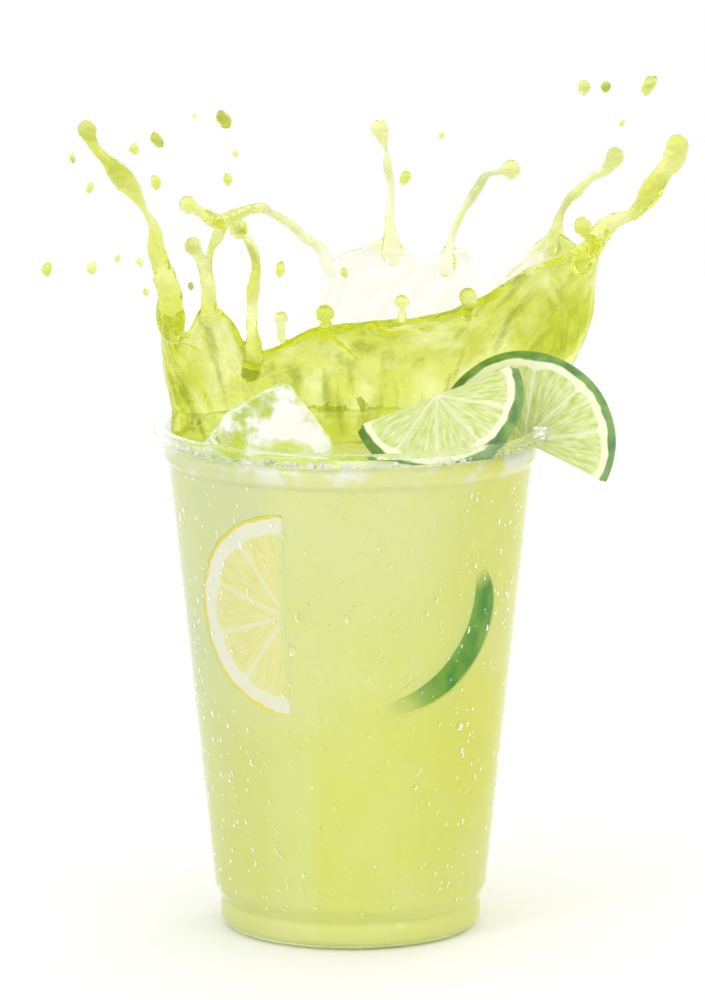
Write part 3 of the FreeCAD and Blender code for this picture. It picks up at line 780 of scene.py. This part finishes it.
def make_rim_slice():
    lean, turn = math.radians(RIM_SLICE_LEAN), math.radians(RIM_SLICE_AZIMUTH)
    seat = COLLAR_INNER + CURL_WIDTH / 2
    hub = Vector((seat - RIM_SLICE_INWARD, 0, RIM_TOP - RIM_SLICE_DROP))
    local = laid((math.cos(lean), 0, -math.sin(lean)), (math.sin(lean), 0, math.cos(lean)), hub)
    place = Matrix.Rotation(turn, 4, "Z") @ local
    cutter = rim_cutter()
    piece = citrus("lime_on_rim", place, RIM_SLICE_RADIUS, RIM_SLICE_THICKNESS, LIME, "lime",
                   "lime_slice_rim", cutter)
    bpy.data.objects.remove(cutter)
    return piece


def make_floating_lime():
    place = laid(WEDGE_EDGE, WEDGE_ARC, Vector(WEDGE_HUB))
    return citrus("lime_floating", place, WEDGE_RADIUS, WEDGE_THICKNESS, LIME, "lime", "lime_wedge")


def plate(columns, rows, at):
    """A thin closed plate: its points, its faces, and each point's shares of the columns and rows.

    Its skins are at(share of the columns, share of the rows, side); side 0 is the inner skin."""
    spots = [(i / columns, j / rows) for i in range(columns + 1) for j in range(rows + 1)]
    points = [at(*spot, side) for side in (0, 1) for spot in spots]
    faces, row, back = two_skins(columns, rows)
    for i in range(columns):
        for j in (0, rows):
            a, b = i * row + j, (i + 1) * row + j
            faces.append((a, b, back + b, back + a))
    for j in range(rows):
        for i in (0, columns):
            a = i * row + j
            faces.append((a, a + 1, back + a + 1, back + a))
    return points, faces, spots + spots


def on_wall(side_step, facing, z, side):
    """A point inside the plastic at a sideways step from the direction that a slice faces."""
    radius = inner_radius(z) + SLICE_SKINS[side]
    across = Vector((facing.y, -facing.x, 0))
    ahead = math.sqrt(max(radius**2 - side_step**2, 0.0))
    return facing * ahead - across * side_step + Vector((0, 0, z))


def make_sunk_lemon():
    """The lemon half wheel that lies flat on the inside of the wall."""
    turn = math.radians(LEMON_AZIMUTH)
    facing = Vector((math.cos(turn), math.sin(turn), 0))

    def at(around, out, side):
        angle = math.pi * around
        reach = LEMON_RADIUS * (0.004 + 0.996 * out)
        return on_wall(-reach * math.sin(angle), facing, LEMON_HEIGHT + reach * math.cos(angle), side)

    points, faces, spots = plate(120, 50, at)
    mesh = mesh_of("lemon_sunk", points, faces)
    store(mesh, "polar", "FLOAT_VECTOR", [(a, r, 0.0) for a, r in spots])
    edge = [math.sin(math.pi * a) * r * LEMON_RADIUS for a, r in spots]
    flesh = [clamp((0.86 - r) / 0.08) for _, r in spots]
    depth = [0.12 + f * max(0.0, 1.1 - e / (2.4 * MM)) + max(0.0, (r - 0.985) * 60)
             for e, f, (_, r) in zip(edge, flesh, spots)]
    store(mesh, "depth", "FLOAT", depth)
    material = sunk_material("lemon_in_drink", SUNK_LEMON)
    return show("lemon_sunk", mesh, material, "lemon", "lemon_slice")


def make_sunk_lime():
    """The lime half wheel that shows its rind, edge on, through the drink."""
    start, end = SUNK_RIND_TURNS

    def spot(around, over):
        """A place across and up: the rind, from its outer side inwards, then the rim of the face."""
        angle = math.radians(start + (end - start) * around)
        taper = 0.05 + 0.95 * math.sin(math.pi * around) ** 0.4
        reach = SUNK_RIND_REACH + SUNK_RIND_WIDTH * taper * (0.5 - over * 1.35)
        across, up = SUNK_RIND_MIDDLE
        return across + reach * math.cos(angle), up + reach * math.sin(angle)

    def at(around, over, side):
        x, z = spot(around, over)
        radius = inner_radius(z) + SLICE_SKINS[side]
        return Vector((x, -math.sqrt(max(radius**2 - x**2, 0.0)), z))

    points, faces, spots = plate(120, 30, at)
    mesh = mesh_of("lime_sunk", points, faces)
    outs = [1.0 if over < 0.70 else 0.945 - (over - 0.70) * 0.25 for _, over in spots]
    store(mesh, "polar", "FLOAT_VECTOR", [(a, r, 0.0) for (a, _), r in zip(spots, outs)])
    depth = []
    for around, over in spots:
        ends = max(0.0, 1 - around / 0.16) ** 1.5 + max(0.0, (around - 0.62) / 0.38) ** 1.3
        sides = max(0.0, 1 - over / 0.10) + max(0.0, (over - 0.80) / 0.2)
        depth.append(ends + sides + 0.12)
    store(mesh, "depth", "FLOAT", depth)
    material = sunk_material("lime_in_drink", SUNK_LIME)
    return show("lime_sunk", mesh, material, "lime", "lime_slice_sunk")


# ---- ice ----
def make_ice():
    """A half-melted cube: rounded, with uneven faces."""
    steps = 26
    shape = bmesh.new()
    bmesh.ops.create_cube(shape, size=ICE_EDGE)
    bmesh.ops.subdivide_edges(shape, edges=shape.edges, cuts=steps, use_grid_fill=True)
    yaw, tilt, roll = (math.radians(a) for a in ICE_TURN)
    turn = Matrix.Rotation(yaw, 4, "Z") @ Matrix.Rotation(-tilt, 4, "X") @ Matrix.Rotation(-roll, 4, "Y")
    centre = (ICE_LOW + ICE_HIGH) / 2
    core = ICE_EDGE / 2 - ICE_ROUND
    for vertex in shape.verts:
        p = vertex.co
        inner = Vector([max(-core, min(core, c)) for c in p])
        away = (p - inner).normalized()
        p = inner + away * ICE_ROUND
        melt = 0.5 * MM * noise.noise(p * 90) + 0.3 * MM * noise.noise(p * 220)
        p = p * 0.98 + away * (melt - 0.21 * MM)
        vertex.co = turn @ p + centre
    mesh = bpy.data.meshes.new("ice")
    shape.to_mesh(mesh)
    shape.free()
    mesh.polygons.foreach_set("use_smooth", [True] * len(mesh.polygons))
    return show("ice", mesh, ice_material(), "ice", "ice_cube")


# ---- splash ----
def station_points():
    feet, lips = [], []
    for azimuth, share, lean_x, lean_y, rise in CROWN:
        turn = math.radians(azimuth)
        foot = Vector((math.cos(turn), math.sin(turn), 0)) * share * FOOT_REACH
        foot.z = LEVEL
        feet.append(foot)
        lips.append(foot + Vector((lean_x, lean_y, rise)) * MM)
    return feet, lips


def even_places(points, count):
    """Places along a closed spline that are evenly spaced in length."""
    steps = 2400
    fine = [i * len(points) / steps for i in range(steps)]
    path = [loop_spline(points, place) for place in fine]
    length = [0.0]
    for a, b in zip(path, path[1:] + path[:1]):
        length.append(length[-1] + (b - a).length)
    places, k = [], 0
    for i in range(count):
        target = length[-1] * i / count
        while length[k + 1] < target:
            k += 1
        places.append(fine[k])
    return places


def crown_grid():
    """The middle of the crown's sheet, as columns of points from below the liquid to the lip."""
    feet, lips = station_points()
    straight = RIM_TOP + 1.2 * MM
    grid = []
    for place in even_places(lips, CROWN_COLUMNS):
        foot, lip = loop_spline(feet, place), loop_spline(lips, place)
        column = [Vector((foot.x, foot.y, LEVEL - 1.5 * MM)), Vector((foot.x, foot.y, LEVEL + 1.5 * MM))]
        for i in range(CROWN_ROWS):
            share = i / (CROWN_ROWS - 1)
            sideways, forward = 1 - (1 - share) ** 3, share**3
            column.append(Vector((
                foot.x + (lip.x - foot.x) * sideways,
                foot.y + (lip.y - foot.y) * forward,
                straight + (lip.z - straight) * share,
            )))
        grid.append(column)
    return grid


def crown_skins(grid):
    """Points and faces of the sheet's closed skin: thick ribs, thin panes and shallow waves."""
    columns, rows = len(grid), len(grid[0])
    outer, inner = [], []
    for i in range(columns):
        before, after = grid[i - 1], grid[(i + 1) % columns]
        for j in range(rows):
            p = grid[i][j]
            along = after[j] - before[j]
            up = grid[i][min(j + 1, rows - 1)] - grid[i][max(j - 1, 0)]
            normal = along.cross(up).normalized()
            share = j / (rows - 1)
            free = clamp((share - 0.08) * 4)
            drift = i / columns * 90 + share * 6
            wave = 0.8 * MM * noise.noise(p * 85) + 0.35 * MM * noise.noise(Vector((drift, share * 3, 0)))
            rib = max(0.0, noise.noise(Vector((drift * 0.8, share * 2.2, 5)))) ** 1.5
            thick = CROWN_SHEET * (1 + 1.5 * rib) + 2.2 * MM * max(0.0, 0.07 - share) * 10
            middle = p + normal * wave * free
            outer.append(middle + normal * thick / 2)
            inner.append(middle - normal * thick / 2)
    faces = []
    back = columns * rows
    for i in range(columns):
        after = (i + 1) % columns
        for j in range(rows - 1):
            a, b = i * rows + j, after * rows + j
            faces.append((a, b, b + 1, a + 1))
            faces.append((back + a, back + a + 1, back + b + 1, back + b))
        for j in (0, rows - 1):
            a, b = i * rows + j, after * rows + j
            faces.append((a, back + a, back + b, b) if j == 0 else (a, b, back + b, back + a))
    return outer + inner, faces


def lip_bead(points, faces, grid):
    """The thick round bead along the crown's lip."""
    run = [column[-1] for column in grid[::4]]
    run.append(run[0])
    bead = []
    for i, p in enumerate(run):
        k = i % (len(run) - 1)
        radius = 1.05 * MM + 0.45 * MM * noise.noise(p * 70) + 0.2 * MM * noise.noise(p * 200)
        if p.y > 30 * MM:
            radius *= 0.75
        bead.append(Vector((*run[k], radius)))
    tube(points, faces, bead, per_span=2)


def make_splash():
    grid = crown_grid()
    points, faces = crown_skins(grid)
    lip_bead(points, faces, grid)
    for run in JETS.values():
        path = [Vector(step) * MM for step in run]
        tube(points, faces, path)
        ball(points, faces, path[-1].xyz, path[-1].w * 1.12, (1, 1, 1.08))
    for x, y, z, radius in LIP_BEADS:
        centre = Vector((x, y, z)) * MM
        ball(points, faces, centre, radius * MM)
        foot = centre - Vector((0, 0, 5 * MM))
        tube(points, faces, [Vector((*centre, radius * 0.5 * MM)), Vector((*foot, radius * 0.6 * MM))])
    rough = mesh_of("splash_rough", points, faces)
    fine = modified(rough, [
        ("REMESH", {"mode": "VOXEL", "voxel_size": SPLASH_VOXEL}),
        ("SMOOTH", {"factor": 0.5, "iterations": 5}),
    ])
    ratio = min(1.0, SPLASH_TRIANGLES / sum(len(p.vertices) - 2 for p in fine.polygons))
    fine = modified(fine, [("DECIMATE", {"ratio": ratio})])
    normals = [vertex.normal.copy() for vertex in fine.vertices]
    for vertex, normal in zip(fine.vertices, normals):
        vertex.co += normal * 0.18 * MM * noise.noise(vertex.co * 260)
    material = liquid_material("splash_liquid", rgb(222, 229, 116), rgb(247, 250, 192), rgb(160, 172, 56),
                               (0.90, 0.91, 0.05, 1), 80)
    return show("splash_crown", fine, material, "lemonade_splash", "splash")


def make_flying_drops():
    points, faces = [], []
    drops = [(JETS[jet][-1][:3], drop) for jet, thrown in THROWN_DROPS.items() for drop in thrown]
    for jet_end, (right, back, up, radius) in drops:
        stretch = (random.uniform(0.7, 1.0), random.uniform(0.8, 1.0), random.uniform(1.0, 1.45))
        start = len(points)
        centre = (Vector(jet_end) + Vector((right, back, up))) * MM
        ball(points, faces, centre, radius * MM, stretch, 14, 20)
        tilt = Matrix.Rotation(random.uniform(-0.6, 0.6), 3, "Y")
        for i in range(start, len(points)):
            away = points[i] - centre
            away = away * (1 + 0.25 * noise.noise(away * 500 + centre * 900))
            points[i] = centre + tilt @ away
    material = liquid_material("drop_liquid", rgb(226, 234, 124), rgb(246, 250, 180), rgb(148, 162, 54),
                               (0.88, 0.90, 0.05, 1), 160)
    return show("splash_drops", mesh_of("splash_drops", points, faces), material, "lemonade_splash")


# ---- small things on the cup ----
def dome(points, faces, base, normal, radius, height, stretch, segments=10, rings=4):
    """Adds a closed drop that sits on a surface: a dome with a flat underside."""
    up = Vector((0, 0, 1))
    up = (up - normal * up.dot(normal)).normalized()
    across = normal.cross(up)
    start = len(points)
    for i in range(rings):
        low = math.pi / 2 * i / rings
        for j in range(segments):
            turn = math.tau * j / segments
            flat = across * math.cos(turn) + up * math.sin(turn) * stretch
            points.append(base + flat * radius * math.cos(low) + normal * height * math.sin(low))
    points.append(base + normal * height)
    points.append(base - normal * 0.05 * MM)
    top, under = len(points) - 2, len(points) - 1
    for j in range(segments):
        after = (j + 1) % segments
        for i in range(rings - 1):
            low = start + i * segments
            faces.append((low + j, low + after, low + segments + after, low + segments + j))
        high = start + (rings - 1) * segments
        faces.append((high + j, high + after, top))
        faces.append((start + after, start + j, under))


def make_condensation():
    points, faces = [], []
    for _ in range(DROPLETS):
        z = random.uniform(*DROPLET_HEIGHTS)
        azimuth = random.uniform(0, math.tau)
        radius = outer_radius(z)
        outward = Vector((math.cos(azimuth), math.sin(azimuth), 0))
        base = outward * (radius + 0.01 * MM) + Vector((0, 0, z))
        normal = (outward + Vector((0, 0, -0.105))).normalized()
        size = random.choice(DROPLET_SIZES) * MM * random.uniform(0.8, 1.2)
        if random.random() < LARGE_SHARE:
            size *= 1.7
        dome(points, faces, base, normal, size, size * 0.4, random.uniform(1.0, 1.8))
    return show("condensation", mesh_of("condensation", points, faces), water_material(), "cup_plastic")


def make_froth():
    """Small bubbles that gather where the drink meets the wall."""
    points, faces = [], []
    for middle, spread, count in BUBBLE_CLUSTERS:
        for _ in range(count):
            azimuth = math.radians(random.gauss(middle, spread))
            radius = random.choice(BUBBLE_SIZES) * MM
            away = COLLAR_INNER - radius - 0.1 * MM - abs(random.gauss(0, 1.6)) * MM
            z = LEVEL + radius * 0.3 + random.uniform(0, 1.2) * MM
            centre = Vector((away * math.cos(azimuth), away * math.sin(azimuth), z))
            ball(points, faces, centre, radius, (1, 1, 0.85), 6, 9)
    return show("froth", mesh_of("froth", points, faces), bubble_material(), "lemonade")


# ---- room ----
def make_floor():
    mesh = mesh_of("floor", [(-3, -3, 0), (3, -3, 0), (3, 1.1, 0), (-3, 1.1, 0)], [(0, 1, 2, 3)], False)
    floor = placed("floor", mesh)
    paint = Paint("white_table")
    shade = paint.mix(paint.noise(3, 1), rgb(255, 255, 255), rgb(254, 254, 254))
    mesh.materials.append(paint.surface(paint.principled({
        "Base Color": shade, "Roughness": 0.6, "Specular IOR Level": 0.1,
    })))


def lamp(name, at, towards, size, power):
    light = bpy.data.lights.new(name, "AREA")
    light.shape = "DISK"
    light.size = size
    light.energy = power
    holder = placed(name, light)
    holder.location = at
    holder.rotation_euler = (Vector(towards) - Vector(at)).to_track_quat("-Z", "Y").to_euler()


def make_light():
    world = bpy.data.worlds.new("studio")
    bpy.context.scene.world = world
    world.use_nodes = True
    tree = world.node_tree
    tree.nodes.clear()
    background = tree.nodes.new("ShaderNodeBackground")
    background.inputs["Color"].default_value = (1, 1, 1, 1)
    background.inputs["Strength"].default_value = 1.0
    output = tree.nodes.new("ShaderNodeOutputWorld")
    tree.links.new(background.outputs[0], output.inputs["Surface"])
    lamp("key", (-0.7, -0.8, 1.0), (0, 0, 0.1), 0.35, 2.2)
    lamp("right", (0.9, -0.9, 0.5), (0, 0, 0.08), 0.4, 1.2)
    lamp("back", (0.5, 0.8, 0.7), (0, 0, 0.14), 0.3, 1.0)


def make_camera():
    data = bpy.data.cameras.new("camera")
    data.lens = CAMERA_LENS
    data.sensor_width = 36
    data.clip_end = 20
    camera = placed("camera", data)
    camera.location = CAMERA_AT
    camera.rotation_euler = (math.pi / 2 - CAMERA_DIP, 0, 0)
    bpy.context.scene.camera = camera


dress_cup()
make_drink()
make_sunk_lemon()
make_sunk_lime()
make_rim_slice()
make_floating_lime()
make_ice()
make_splash()
make_flying_drops()
make_condensation()
make_froth()
make_floor()
make_light()
make_camera()
bpy.context.scene.view_settings.view_transform = "Standard"
